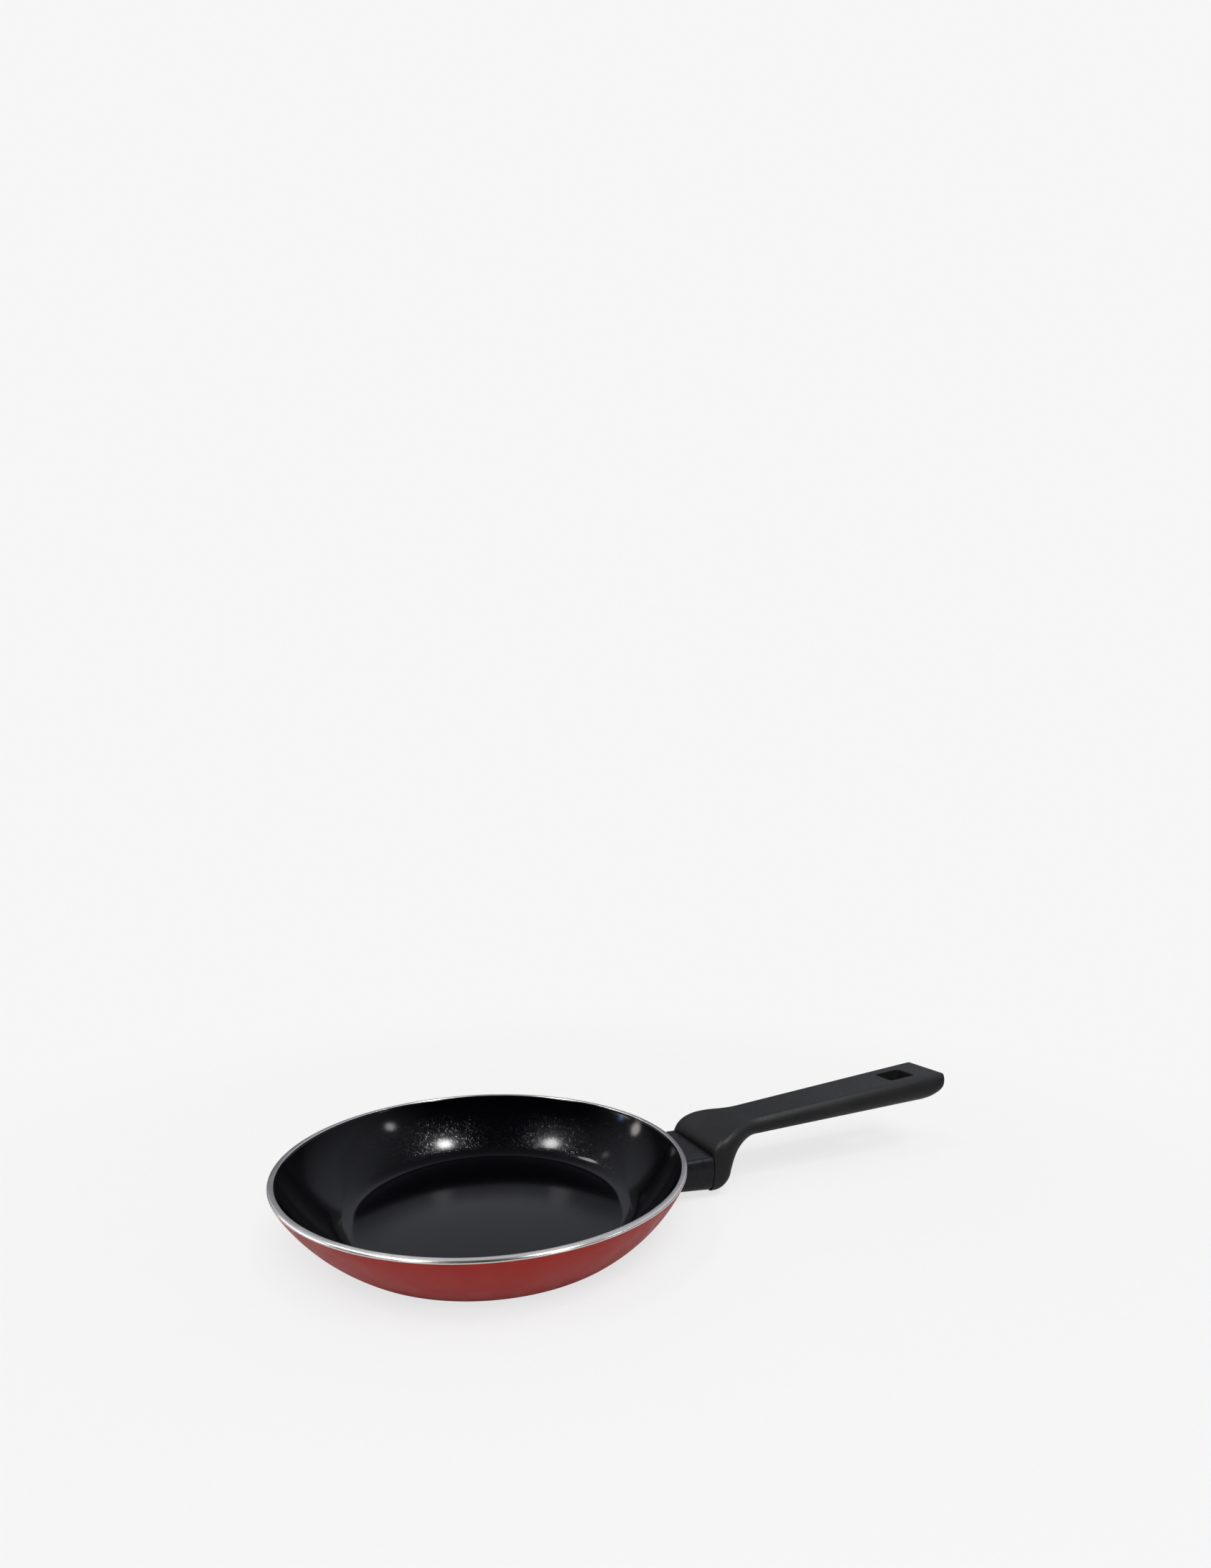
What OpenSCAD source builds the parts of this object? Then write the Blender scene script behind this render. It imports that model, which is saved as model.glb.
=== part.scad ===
// Omelette pan: a pressed aluminium pan with a red outside and a black non-stick inside,
// and an S-shaped moulded handle that one long screw holds to a bracket on the pan's wall.
// The origin is the middle of the base, on the surface that the pan stands on.
// +X runs along the handle, +Z is up, and the pan is the same on both sides of Y = 0.

/* [Pan] */
// Outside diameter of the bare metal at the rim
rim_d = 200; // [190:1:225]
// Height of the rim above the surface that the pan stands on
pan_h = 35; // [33:0.5:45]
// Diameter of the flat part of the base
base_d = 143; // [130:1:150]
// Thickness of the metal in the base
base_t = 4.3; // [3:0.1:6]
// How much smaller across the flat part of the floor inside is than that of the base
floor_inset = 8; // [3:1:19]
// Radius of the bend from base to wall, outside
corner_r = 11.5; // [8:0.5:14]
// Radius of the hollow bend from floor to wall, inside
fillet_r = 16; // [10:0.5:20]
// Radius of the wall's bulge, outside
wall_r = 78; // [65:1:110]
// Radius of the wall's bulge, inside
wall_inner_r = 78; // [65:1:110]
// Width of the rim from its inner edge to its outer edge
rim_t = 3; // [2.6:0.1:4]
// Radius of the rim's outer edge
rim_round = 1; // [0.6:0.1:1.2]
// Radius of the rim's inner edge, where the lining stops
rim_ease = 0.3; // [0.1:0.05:0.5]

/* [Coatings] */
// Thickness of the red coat on the outside
enamel_t = 0.2; // [0.15:0.05:0.4]
// Thickness of the non-stick lining
lining_t = 0.15; // [0.1:0.05:0.3]
// Height of the bare metal below the rim's top, outside
rim_bare = 0.3; // [0.2:0.05:0.5]
// Angle up the outer bend at which the red coat starts
enamel_start = 16; // [14:1:24]

/* [Turned base] */
// Number of turned grooves in the base
groove_count = 7; // [0:1:8]
// Distance from one groove to the next
groove_pitch = 8; // [6:0.5:8]
// Width of each groove
groove_w = 2; // [1:0.1:3]
// Depth of each groove
groove_depth = 0.4; // [0.2:0.1:0.8]
// Diameter of the plain land in the middle of the base
centre_land_d = 20; // [12:1:26]

/* [Flame guard] */
// Distance from the rim's outer edge to the guard's handle end
guard_reach = 18.8; // [16:0.2:30]
// Width of the guard
guard_w = 50.6; // [46:0.2:60]
// Height of the guard at its handle end
guard_h = 20.4; // [18:0.1:22]
// Slope of the guard's top, down towards the pan
guard_top_slope = 1; // [0:0.1:3]
// Slope of the guard's bottom, up towards the pan
guard_low_slope = 4.7; // [2:0.1:5.5]
// Distance from the rim's top down to the guard's top
guard_drop = 10; // [9:0.1:12]
// How far each side of the guard bulges past its flat top
guard_bulge = 5.5; // [4:0.1:7]
// Squareness of the guard's sides: 1 is half an ellipse, less is squarer
guard_power = 0.8; // [0.6:0.05:1]
// Wall of the guard
guard_t = 1.2; // [0.8:0.1:1.8]
// Gap between the guard and the coated wall of the pan
guard_gap = 0.2; // [0.1:0.05:0.4]

/* [Bracket] */
// Width of the bracket's foot on the pan's wall
foot_w = 34; // [30:0.5:38]
// Slack between the foot and the inside of the guard, above and below
foot_slack = 0.5; // [0.3:0.1:1]
// Thickness of the bracket's foot
foot_t = 2.5; // [2:0.1:4]
// Width of the bracket's tang
tang_w = 16; // [12:0.5:18]
// Height of the bracket's tang
tang_h = 8.5; // [7.5:0.1:9]
// How far the tang goes into the handle
tang_depth = 4; // [2.5:0.1:5]
// Slack round the tang in its pocket
tang_slack = 0.2; // [0.1:0.05:0.4]

/* [Screw] */
// Diameter of the screw's shank
screw_d = 5; // [4:0.5:6]
// Length of the shank under the head
screw_len = 22; // [18:1:26]
// Diameter of the screw's head
head_d = 9; // [8:0.5:10]
// Height of the screw's head
head_h = 2.6; // [2:0.1:3.2]
// Outside diameter of the lock washer
washer_d = 9.2; // [8.4:0.2:10]
// Thickness of the lock washer
washer_t = 1.2; // [0.8:0.1:1.6]
// Slack round the shank in the bracket's thread
thread_slack = 0.05; // [0.02:0.01:0.1]
// Slack round the shank in the handle
shank_slack = 0.3; // [0.1:0.05:0.5]
// Slack round the washer in its counterbore
head_slack = 0.8; // [0.5:0.1:1]
// Thickness of the handle between the tang's pocket and the washer
web_t = 3; // [2.5:0.1:4]

/* [Handle] */
// Distance from the rim's outer edge to the tip of the handle
handle_reach = 196.3; // [170:0.1:220]
// Open seam between the guard and the handle
seam_gap = 0.3; // [0.2:0.05:0.6]
// How far the handle's mouth stands above the guard
mouth_lip = 0.9; // [0.1:0.1:2]
// How far the handle's mouth stands below the guard
mouth_drop = 0.9; // [0.1:0.1:1.5]
// How far the handle's mouth stands out on each side of the guard
mouth_side = 0.2; // [0:0.05:0.5]
// Length of the spigot that goes into the guard
spigot_len = 5; // [3:0.5:7]
// Slack round the spigot in the guard
spigot_slack = 0.25; // [0.1:0.05:0.4]
// Height of the tail's top edge above the guard's top
tail_rise = 29; // [25:0.1:36]
// Slope of the grip's top
top_slope = 5.7; // [4:0.1:7]
// Length of the shoulder's curve from the mouth to the straight top of the grip
shoulder_run = 22; // [16:0.5:26]
// Thickness of the heel below the shoulder
heel_t = 12.5; // [12:0.1:16]
// Radius of the heel's bottom edge
heel_r = 9.9; // [8:0.1:11.5]
// How far the back of the heel leans out on its way up
back_lean = 2.6; // [0:0.1:4]
// Share of its rise that the back of the heel makes before it bends
back_rise = 0.85; // [0.6:0.01:0.9]
// Share of its run that the bend under the neck takes up
back_run = 0.68; // [0.4:0.01:0.8]
// Distance from the mouth to the narrowest part of the neck
neck_reach = 34.2; // [31:0.1:42]
// Thickness of the neck
neck_t = 11.5; // [11:0.1:14]
// Thickness of the grip at its tail
tail_t = 17.6; // [15:0.1:21]
// Width of the flat top at the neck
neck_flat = 21.9; // [17:0.1:24]
// Width of the flat top at the tail
tail_flat = 26.8; // [24:0.1:32]
// How far each side of the grip bulges past the flat top
grip_bulge = 4; // [2:0.1:5]
// How far up its curve, in degrees, each side of the grip meets the flat top: 90 is no crease
grip_crease = 55; // [45:1:85]
// Length of the curve under the tail
tail_curve = 17.5; // [14:0.5:19]
// Fullness of the curve under the tail: 2 is a quarter of an ellipse, more is fuller
tail_power = 2.2; // [1.8:0.1:3.5]
// Length of the curve over the tail's end
nose_run = 7.4; // [4:0.1:9]
// Height of the curve over the tail's end
nose_drop = 4.4; // [3:0.1:7]
// Fullness of the curve over the tail's end
nose_power = 1.5; // [1.4:0.1:2.5]
// Height of the tail's end between the curves over and under it
tail_edge = 1; // [0.5:0.1:3]
// Radius of the tail's corners, seen from above
tail_corner = 6; // [2:0.1:8]
// Distance from the tip over which the sides' bulge fades out
bulge_run = 12.4; // [6:0.1:13]

/* [Hanging hole] */
// Distance from the tip of the handle to the near edge of the hole
hole_from_tip = 22.1; // [17:0.1:30]
// Length of the hole along the handle
hole_l = 18.8; // [14:0.1:22]
// Width of the hole
hole_w = 14.4; // [10:0.1:16]
// Radius of the hole's corners
hole_r = 2; // [1:0.1:3]
// Chamfer round the hole's top edge
hole_chamfer = 0.7; // [0.3:0.1:1]

/* [Hidden] */
$fn = 64;

// How finely the curves are cut
arc_steps = 16;
quarter_steps = 7;
shoulder_steps = 24;
heel_steps = 8;
back_steps = 22;
grip_steps = 8;
tail_steps = 10;
// A cut goes this far past the face that it opens
past = 1;

// Points on an arc, and along a curve with two control points
function arc(c, r, a0, a1, n) = [for (i = [0:n]) let (a = a0 + (a1 - a0) * i / n)
    c + r * [cos(a), sin(a)]];
function direction(v) = atan2(v[1], v[0]);
function mix(a, b, k) = a + (b - a) * k;
function ease(k) = (1 - cos(180 * min(1, max(0, k)))) / 2;
function bezier(p, k) = let (m = 1 - k)
    m * m * m * p[0] + 3 * m * m * k * p[1] + 3 * m * k * k * p[2] + k * k * k * p[3];

// Distances of a curve's points from its start, along the curve
function run(p) = [for (i = 0, s = 0; i < len(p);
    s = s + (i + 1 < len(p) ? norm(p[i + 1] - p[i]) : 0), i = i + 1) s];

// Centre of the wall's arc, which runs on smoothly from the bend and ends at the rim
function wall_centre(bend, bend_r, rim, r) = let (
    v = rim - bend,
    d = norm(v),
    along = (d * d + pow(r - bend_r, 2) - r * r) / (2 * d),
    off = sqrt(pow(r - bend_r, 2) - along * along),
    u = v / d)
    bend + along * u + off * [-u[1], u[0]];

// Pan's outside: flat base, bend, bulging wall, bare rim
rim_r = rim_d / 2;
rim_edge = [rim_r, pan_h - rim_round];
outer_bend = [base_d / 2, corner_r];
outer_wall = wall_centre(outer_bend, corner_r, rim_edge, wall_r);
outer_turn = direction(outer_bend - outer_wall);
rim_bend = rim_edge - [rim_round, 0];
bare_angle = asin(1 - rim_bare / rim_round);
enamel_angle = enamel_start - 90;

// Pan's inside: flat floor, hollow bend, wall
inner_edge = [rim_r - rim_t, pan_h - rim_ease];
inner_bend = [(base_d - floor_inset) / 2, base_t + fillet_r];
inner_wall = wall_centre(inner_bend, fillet_r, inner_edge, wall_inner_r);
inner_turn = direction(inner_bend - inner_wall);

// How far out the wall's outside is at a height z
function wall_x(z) = outer_wall[0] + sqrt(wall_r * wall_r - pow(z - outer_wall[1], 2));

// The coated stretch of the outside, a distance o outside the metal
function coated_curve(o) = concat(
    arc(outer_bend, corner_r + o, enamel_angle, outer_turn, arc_steps),
    arc(outer_wall, wall_r + o, outer_turn, direction(rim_edge - outer_wall), arc_steps),
    arc(rim_bend, rim_round + o, 0, bare_angle, 3));

// The inside, a distance o inside the metal
function inside_curve(o) = concat(
    [[0, base_t + o]],
    arc(inner_bend, fillet_r - o, -90, inner_turn, arc_steps),
    [for (i = [1:arc_steps]) let (
        stop = direction(inner_edge - inner_wall),
        a = mix(inner_turn, stop, i / arc_steps))
        inner_wall + (wall_inner_r - o) * [cos(a), sin(a)]]);

// Guard, seam and handle places
seam_x = rim_r + guard_reach;
mouth_x = seam_x + seam_gap;
guard_top = pan_h - guard_drop;
guard_mid = guard_top - guard_h / 2;
screw_z = guard_mid;
tip_x = rim_r + handle_reach;
mouth_top = guard_top + mouth_lip;
mouth_low = guard_top - guard_h - mouth_drop;
heel_x = mouth_x + heel_t;
neck_x = mouth_x + neck_reach;
tail_top = guard_top + tail_rise;
guard_flat = guard_w / 2 - guard_bulge;
function guard_high(x) = guard_top - (seam_x - x) * tan(guard_top_slope);
function guard_low(x) = guard_top - guard_h + (seam_x - x) * tan(guard_low_slope);

function top_z(x) = tail_top - (tip_x - x) * tan(top_slope);
function under_z(x) = top_z(x) - mix(neck_t, tail_t, (x - neck_x) / (tip_x - tail_curve - neck_x));

// Bracket's foot, as high as the guard's inside leaves free where it meets the wall
foot_x = wall_x(guard_top - guard_h);
foot_high = guard_high(foot_x) - guard_t - foot_slack;
foot_low = guard_low(foot_x) + guard_t + foot_slack;

// Moves a sine or cosine towards 1 or -1, which makes a curve squarer
function squared(v, power) = sign(v) * pow(abs(v), power);

// Section of guard and spigot at x, drawn in from the guard's outside by a distance o:
// flat top and bottom, and bulging sides
function guard_ring(x, o) = let (
    middle = (guard_high(x) + guard_low(x)) / 2,
    half_h = (guard_high(x) - guard_low(x)) / 2 - o,
    side = [for (a = [-90:90 / arc_steps:90]) [
        guard_flat - o + guard_bulge * squared(cos(a), guard_power),
        half_h * squared(sin(a), guard_power)]])
    [for (p = concat(side, [for (i = [len(side) - 1:-1:0]) [-side[i][0], side[i][1]]]))
        [x, p[0], middle + p[1]]];

// Turns a drawing in Y and Z into a solid from x0 to x1
module along_x(x0, x1) {
    translate([x0, 0, 0])
        rotate([90, 0, 90])
            linear_extrude(x1 - x0)
                children();
}

module pan_outside(o) {
    rotate_extrude()
        polygon(concat([[0, -o], [base_d / 2, -o]],
            arc(outer_bend, corner_r + o, -90, enamel_angle, 4),
            coated_curve(o),
            [[rim_r + o, pan_h + past], [0, pan_h + past]]));
}

module pan_body() {
    color("silver")
        rotate_extrude()
            difference() {
                polygon(concat(
                    [[0, 0]],
                    arc(outer_bend, corner_r, -90, enamel_angle, 4),
                    coated_curve(0),
                    arc(rim_bend, rim_round, bare_angle, 90, 3),
                    arc(inner_edge + [rim_ease, 0], rim_ease, 90, 180, 3),
                    [for (i = [len(inside_curve(0)) - 1:-1:0]) inside_curve(0)[i]]));
                for (i = [0:1:groove_count - 1])
                    translate([centre_land_d / 2 + i * groove_pitch, -past])
                        square([groove_w, groove_depth + past]);
            }
}

module nonstick_lining() {
    color("black")
        rotate_extrude()
            polygon(concat(
                inside_curve(0),
                [for (i = [len(inside_curve(0)) - 1:-1:0]) inside_curve(lining_t)[i]]));
}

module outer_enamel() {
    outside = coated_curve(enamel_t);
    color("firebrick")
        difference() {
            rotate_extrude()
                polygon(concat(
                    coated_curve(0),
                    [for (i = [len(outside) - 1:-1:0]) outside[i]]));
            // bare patch under the bracket's foot
            along_x(base_d / 2, rim_r + past)
                foot_outline();
        }
}

module foot_outline() {
    translate([-foot_w / 2, foot_low])
        square([foot_w, foot_high - foot_low]);
}

module handle_bracket() {
    color("gainsboro")
        difference() {
            union() {
                // foot, a curved plate that follows the wall
                intersection() {
                    along_x(base_d / 2, rim_r + foot_t)
                        foot_outline();
                    pan_outside(foot_t);
                }
                // tang, which widens into the foot
                translate([0, 0, screw_z - tang_h / 2])
                    linear_extrude(tang_h)
                        polygon([
                            [base_d / 2, -foot_w / 2], [rim_r - foot_t, -foot_w / 2],
                            [rim_r + foot_t, -tang_w / 2], [mouth_x + tang_depth, -tang_w / 2],
                            [mouth_x + tang_depth, tang_w / 2], [rim_r + foot_t, tang_w / 2],
                            [rim_r - foot_t, foot_w / 2], [base_d / 2, foot_w / 2]]);
            }
            pan_outside(0);
            screw_hole(screw_d + 2 * thread_slack, screw_tip - past);
        }
}

// Seats of the screw: the counterbore's floor carries the washer, and the washer the head
counterbore_x = mouth_x + tang_depth + tang_slack + web_t;
head_x = counterbore_x + washer_t;
screw_tip = head_x - screw_len;

// A round hole along the screw's line, from x0 to the counterbore's floor and a little past
module screw_hole(d, x0) {
    translate([x0, 0, screw_z])
        rotate([0, 90, 0])
            cylinder(d = d, h = counterbore_x + past - x0);
}

module flame_guard() {
    color("dimgray")
        difference() {
            skin([guard_ring(base_d / 2, 0), guard_ring(seam_x, 0)]);
            skin([guard_ring(base_d / 2 - past, guard_t), guard_ring(seam_x + past, guard_t)]);
            pan_outside(enamel_t + guard_gap);
        }
}

// Handle's shape. Each ring is a flat section that stands on a line from the underside
// to the top, so the rings fan out round the heel and stand nearly upright on the grip.

// Top, from the mouth over the shoulder's curve to the straight top of the grip
shoulder_drop = top_z(mouth_x) - mouth_top;
function shoulder_point(a) = let (x = mouth_x + shoulder_run * (1 - cos(a)))
    [x, top_z(x) - shoulder_drop * (1 - sin(a))];
upper_curve = concat(
    [for (i = [0:shoulder_steps]) shoulder_point(90 * i / shoulder_steps)],
    [[neck_x, top_z(neck_x)]]);
upper_run = run(upper_curve);
upper_len = upper_run[len(upper_run) - 1];

// The point a distance s along the top, from the mouth
function upper_point(s) = let (
    i = max([for (j = [0:len(upper_run) - 2]) if (upper_run[j] <= s) j]),
    k = (s - upper_run[i]) / (upper_run[i + 1] - upper_run[i]))
    mix(upper_curve[i], upper_curve[i + 1], k);

// Underside, from the mouth round the heel and up the back of it to the neck
heel_bend = [heel_x - heel_r, mouth_low + heel_r];
neck_low = [neck_x, under_z(neck_x)];
heel_rise = neck_low[1] - heel_bend[1];
under_slope = (under_z(tip_x - tail_curve) - neck_low[1]) / (tip_x - tail_curve - neck_x);
heel_back = [
    heel_bend + [heel_r, 0],
    heel_bend + [heel_r + back_lean, heel_rise * back_rise],
    neck_low - back_run * (neck_x - heel_x) * [1, under_slope],
    neck_low];
lower_curve = concat(
    [[mouth_x, mouth_low], [mix(mouth_x, heel_bend[0], 0.5), mouth_low]],
    arc(heel_bend, heel_r, -90, 0, heel_steps),
    [for (i = [1:back_steps]) bezier(heel_back, i / back_steps)]);
lower_run = run(lower_curve);
// The rings' top ends bunch up near the mouth, from where they fan out
fan_power = 1.8;

// One ring: low and high are its ends in X and Z, flat and base are the half widths of its
// flat top and bottom, half is its full half width, level is how high that lies, 0 to 1,
// crease is the angle up the sides' curve at which they meet the flat top, and power is the
// squareness of the sides
function ring(low, high, flat, base, half, level, crease, power = 1) = let (
    right = concat(
        [for (i = [0:quarter_steps]) let (a = -90 + 90 * i / quarter_steps)
            [base + (half - base) * squared(cos(a), power), level + level * squared(sin(a), power)]],
        [for (i = [1:quarter_steps]) let (a = crease * i / quarter_steps)
            [flat + (half - flat) * squared((cos(a) - cos(crease)) / (1 - cos(crease)), power),
             level + (1 - level) * squared(sin(a) / sin(crease), power)]]),
    all = concat(right, [for (i = [len(right) - 1:-1:0]) [-right[i][0], right[i][1]]]))
    [for (p = all) let (c = mix(low, high, p[1])) [c[0], p[0], c[1]]];

mouth_flat = guard_flat + mouth_side;
// Grip's section: share of its height at which it is widest, and half width of its flat base
grip_level = 0.5;
grip_base = 4;

neck_rings = [for (i = [0:len(lower_curve) - 1]) let (
    s = upper_len * pow(lower_run[i] / lower_run[len(lower_run) - 1], fan_power),
    high = upper_point(s),
    k = ease((high[0] - mouth_x) / neck_reach),
    flat = mix(mouth_flat, neck_flat / 2, k),
    bulge = mix(guard_bulge, grip_bulge, k))
    ring(lower_curve[i], high, flat, mix(mouth_flat, grip_base, k), flat + bulge,
        mix(0.5, grip_level, k), mix(90, grip_crease, k), mix(guard_power, 1, k))];

function grip_flat(x) = mix(neck_flat, tail_flat, (x - neck_x) / (tip_x - neck_x)) / 2;
grip_end = tip_x - tail_curve;
grip_rings = [for (i = [1:grip_steps]) let (x = mix(neck_x, grip_end, i / grip_steps))
    ring([x, under_z(x)], [x, top_z(x)], grip_flat(x), grip_base, grip_flat(x) + grip_bulge,
        grip_level, grip_crease)];

// How far a rounded end has curved in at a distance x from the tip
function round_off(x, length, depth, power = 2) = x > length ? 0
    : depth * (1 - pow(max(0, 1 - pow(1 - x / length, power)), 1 / power));
tail_lift = tail_t - nose_drop - tail_edge;
tail_rings = [for (i = [1:tail_steps]) let (
    from_tip = tail_curve * pow(1 - i / tail_steps, 2),
    x = tip_x - from_tip,
    low = under_z(x) + round_off(from_tip, tail_curve, tail_lift, tail_power),
    high = top_z(x) - round_off(from_tip, nose_run, nose_drop, nose_power),
    flat = grip_flat(x) - round_off(from_tip, tail_corner, tail_corner),
    bulge = grip_bulge - round_off(from_tip, bulge_run, grip_bulge))
    ring([x, low], [x, high], flat, grip_base, flat + bulge, grip_level, grip_crease)];

// Skin of triangles over a row of rings, closed at both ends
module skin(rings) {
    n = len(rings[0]);
    count = len(rings);
    sides = [for (i = [0:count - 2], j = [0:n - 1]) let (
        a = i * n + j,
        b = i * n + (j + 1) % n)
        each [[a, a + n, b], [b, a + n, b + n]]];
    polyhedron(
        points = [for (r = rings) each r],
        faces = concat(
            [[for (j = [0:n - 1]) j]],
            sides,
            [[for (j = [n - 1:-1:0]) (count - 1) * n + j]]));
}

module rounded_slot(grow) {
    l = hole_l + 2 * grow;
    w = hole_w + 2 * grow;
    r = hole_r + grow;
    square([l - 2 * r, w], center = true);
    square([l, w - 2 * r], center = true);
    for (sx = [-1, 1], sy = [-1, 1])
        translate([sx * (l / 2 - r), sy * (w / 2 - r)])
            circle(r);
}

hole_x = tip_x - hole_from_tip - hole_l / 2;
hole_tilt = atan((tan(top_slope) + under_slope) / 2);

module hanging_hole() {
    half = (top_z(hole_x) - under_z(hole_x)) / 2;
    translate([hole_x, 0, under_z(hole_x) + half])
        rotate([0, -hole_tilt, 0]) {
            translate([0, 0, -half - 2 * past])
                linear_extrude(2 * half + 4 * past)
                    rounded_slot(0);
            // chamfer in the slope of the grip's top
            translate([0, 0, half])
                rotate([0, hole_tilt - top_slope, 0])
                    hull() {
                        translate([0, 0, -hole_chamfer])
                            linear_extrude(hole_chamfer / 4)
                                rounded_slot(0);
                        translate([0, 0, hole_chamfer / 4])
                            linear_extrude(hole_chamfer / 4)
                                rounded_slot(1.5 * hole_chamfer);
                    }
        }
}

module handle() {
    color([0.16, 0.16, 0.17])
        difference() {
            union() {
                skin(concat(neck_rings, grip_rings, tail_rings));
                // spigot that centres the guard
                skin([guard_ring(seam_x - spigot_len, guard_t + spigot_slack),
                    guard_ring(mouth_x + past, guard_t + spigot_slack)]);
            }
            // pocket for the bracket's tang
            along_x(seam_x - spigot_len - past, mouth_x + tang_depth + tang_slack)
                translate([0, screw_z])
                    square([tang_w + 2 * tang_slack, tang_h + 2 * tang_slack], center = true);
            screw_hole(screw_d + 2 * shank_slack, seam_x);
            // counterbore for the head
            translate([counterbore_x, 0, screw_z])
                rotate([0, 90, 0])
                    cylinder(d = washer_d + 2 * head_slack, h = heel_t);
            hanging_hole();
        }
}

module handle_screw() {
    recess_w = head_d / 7;
    recess_l = head_d * 0.6;
    color("lightsteelblue")
        translate([0, 0, screw_z])
            difference() {
                union() {
                    translate([screw_tip, 0, 0])
                        rotate([0, 90, 0])
                            cylinder(d = screw_d, h = screw_len);
                    translate([head_x, 0, 0])
                        rotate([0, 90, 0])
                            cylinder(d = head_d, h = head_h);
                }
                // cross recess
                translate([head_x + head_h / 2, -recess_l / 2, -recess_w / 2])
                    cube([head_h, recess_l, recess_w]);
                translate([head_x + head_h / 2, -recess_w / 2, -recess_l / 2])
                    cube([head_h, recess_w, recess_l]);
            }
}

module lock_washer() {
    split_w = washer_d / 8;
    color("lightsteelblue")
        translate([counterbore_x, 0, screw_z])
            difference() {
                rotate([0, 90, 0])
                    cylinder(d = washer_d, h = washer_t);
                translate([-past, 0, 0])
                    rotate([0, 90, 0])
                        cylinder(d = screw_d + 2 * shank_slack, h = washer_t + 2 * past);
                // the split that makes it springy
                translate([-past, -split_w / 2, 0])
                    cube([washer_t + 2 * past, split_w, washer_d]);
            }
}

pan_body();
nonstick_lining();
outer_enamel();
handle_bracket();
flame_guard();
handle();
handle_screw();
lock_washer();
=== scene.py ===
import bpy
import bmesh
import math
from mathutils import Matrix, Vector


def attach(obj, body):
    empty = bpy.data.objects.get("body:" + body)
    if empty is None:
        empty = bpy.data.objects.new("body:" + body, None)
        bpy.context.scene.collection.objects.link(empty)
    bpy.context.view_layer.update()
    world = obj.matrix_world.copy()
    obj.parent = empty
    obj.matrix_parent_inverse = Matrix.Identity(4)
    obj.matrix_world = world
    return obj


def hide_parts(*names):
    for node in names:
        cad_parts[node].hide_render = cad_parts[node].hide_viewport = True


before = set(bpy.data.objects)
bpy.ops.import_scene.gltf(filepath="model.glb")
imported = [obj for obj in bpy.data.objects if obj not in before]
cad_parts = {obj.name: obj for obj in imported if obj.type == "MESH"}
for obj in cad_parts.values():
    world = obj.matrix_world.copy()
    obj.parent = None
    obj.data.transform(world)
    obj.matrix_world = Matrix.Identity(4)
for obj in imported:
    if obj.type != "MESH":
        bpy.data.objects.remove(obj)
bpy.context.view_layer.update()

# Sizes are in millimetres and follow the CAD source; pieces are built in metres.
MM = 0.001

# Pan
RIM_R, PAN_H, BASE_R, BASE_T = 100.0, 35.0, 71.5, 4.3
FLOOR_R, CORNER_R, FILLET_R, WALL_R = 67.5, 11.5, 16.0, 78.0
RIM_T, RIM_ROUND, RIM_EASE, BARE_BAND = 3.0, 1.0, 0.3, 1.3
ENAMEL_T, LINING_T, ENAMEL_START = 0.2, 0.15, 16.0
GROOVES, GROOVE_PITCH, GROOVE_W, GROOVE_DEPTH, LAND_R = 7, 8.0, 2.0, 0.4, 10.0
# Pan, only in the scene: softness of the grooves, crown of the lining's floor, share by which the red coat
# thins out and where, angle at which the rim's rounding starts, and bulge of the lining's upper edge
GROOVE_SOFT, CROWN, CROWN_POWER = 0.12, 1.0, 1.5
THIN_SHARE, THIN_BELOW, THIN_RUN = 0.7, 5, 4
RIM_START, LINING_EDGE = -12, (0.02, 0.05)
# Flame guard
GUARD_REACH, GUARD_W, GUARD_H, TOP_DRAFT, LOW_DRAFT = 18.8, 50.6, 20.4, 1.0, 4.7
GUARD_DROP, GUARD_BULGE, GUARD_POWER, GUARD_T, GUARD_GAP = 10.0, 5.5, 0.8, 1.2, 0.2
# Bracket and screw
FOOT_W, FOOT_SLACK, TANG_W, TANG_H, TANG_DEPTH, TANG_SLACK = 34.0, 0.5, 16.0, 8.5, 4.0, 0.2
SCREW_D, SCREW_LEN, HEAD_D, HEAD_H, WASHER_D, WASHER_T = 5.0, 22.0, 9.0, 2.6, 9.2, 1.2
SHANK_SLACK, HEAD_SLACK, WEB_T = 0.3, 0.8, 3.0
# Handle
REACH, SEAM_GAP, LIP, DROP, SIDE = 196.3, 0.3, 0.35, 0.9, 0.2
SPIGOT_LEN, SPIGOT_SLACK, TAIL_RISE, TOP_SLOPE, SHOULDER_RUN = 5.0, 0.25, 29.0, 5.7, 22.0
HEEL_T, HEEL_R, BACK_LEAN, BACK_RISE, BACK_RUN = 12.5, 9.9, 2.6, 0.85, 0.68
NECK_REACH, NECK_T, TAIL_T, NECK_FLAT, TAIL_FLAT = 34.2, 11.5, 17.6, 21.9, 26.8
GRIP_BULGE, GRIP_CREASE, GRIP_LEVEL, GRIP_BASE, FAN_POWER = 4.0, 55.0, 0.5, 4.0, 1.8
TAIL_CURVE, TAIL_POWER, NOSE_RUN, NOSE_DROP, NOSE_POWER = 17.5, 2.2, 7.4, 4.4, 1.5
TAIL_EDGE, TAIL_CORNER, BULGE_RUN = 1.0, 6.0, 12.4
HOLE_FROM_TIP, HOLE_L, HOLE_W, HOLE_R, HOLE_EDGE = 22.1, 18.8, 14.4, 2.0, 0.7

# Points round a turned piece, and the distance in metres within which points are joined
SEGMENTS = 320
WELD = 2e-7


# Small maths

def tan(a):
    return math.tan(math.radians(a))


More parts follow.
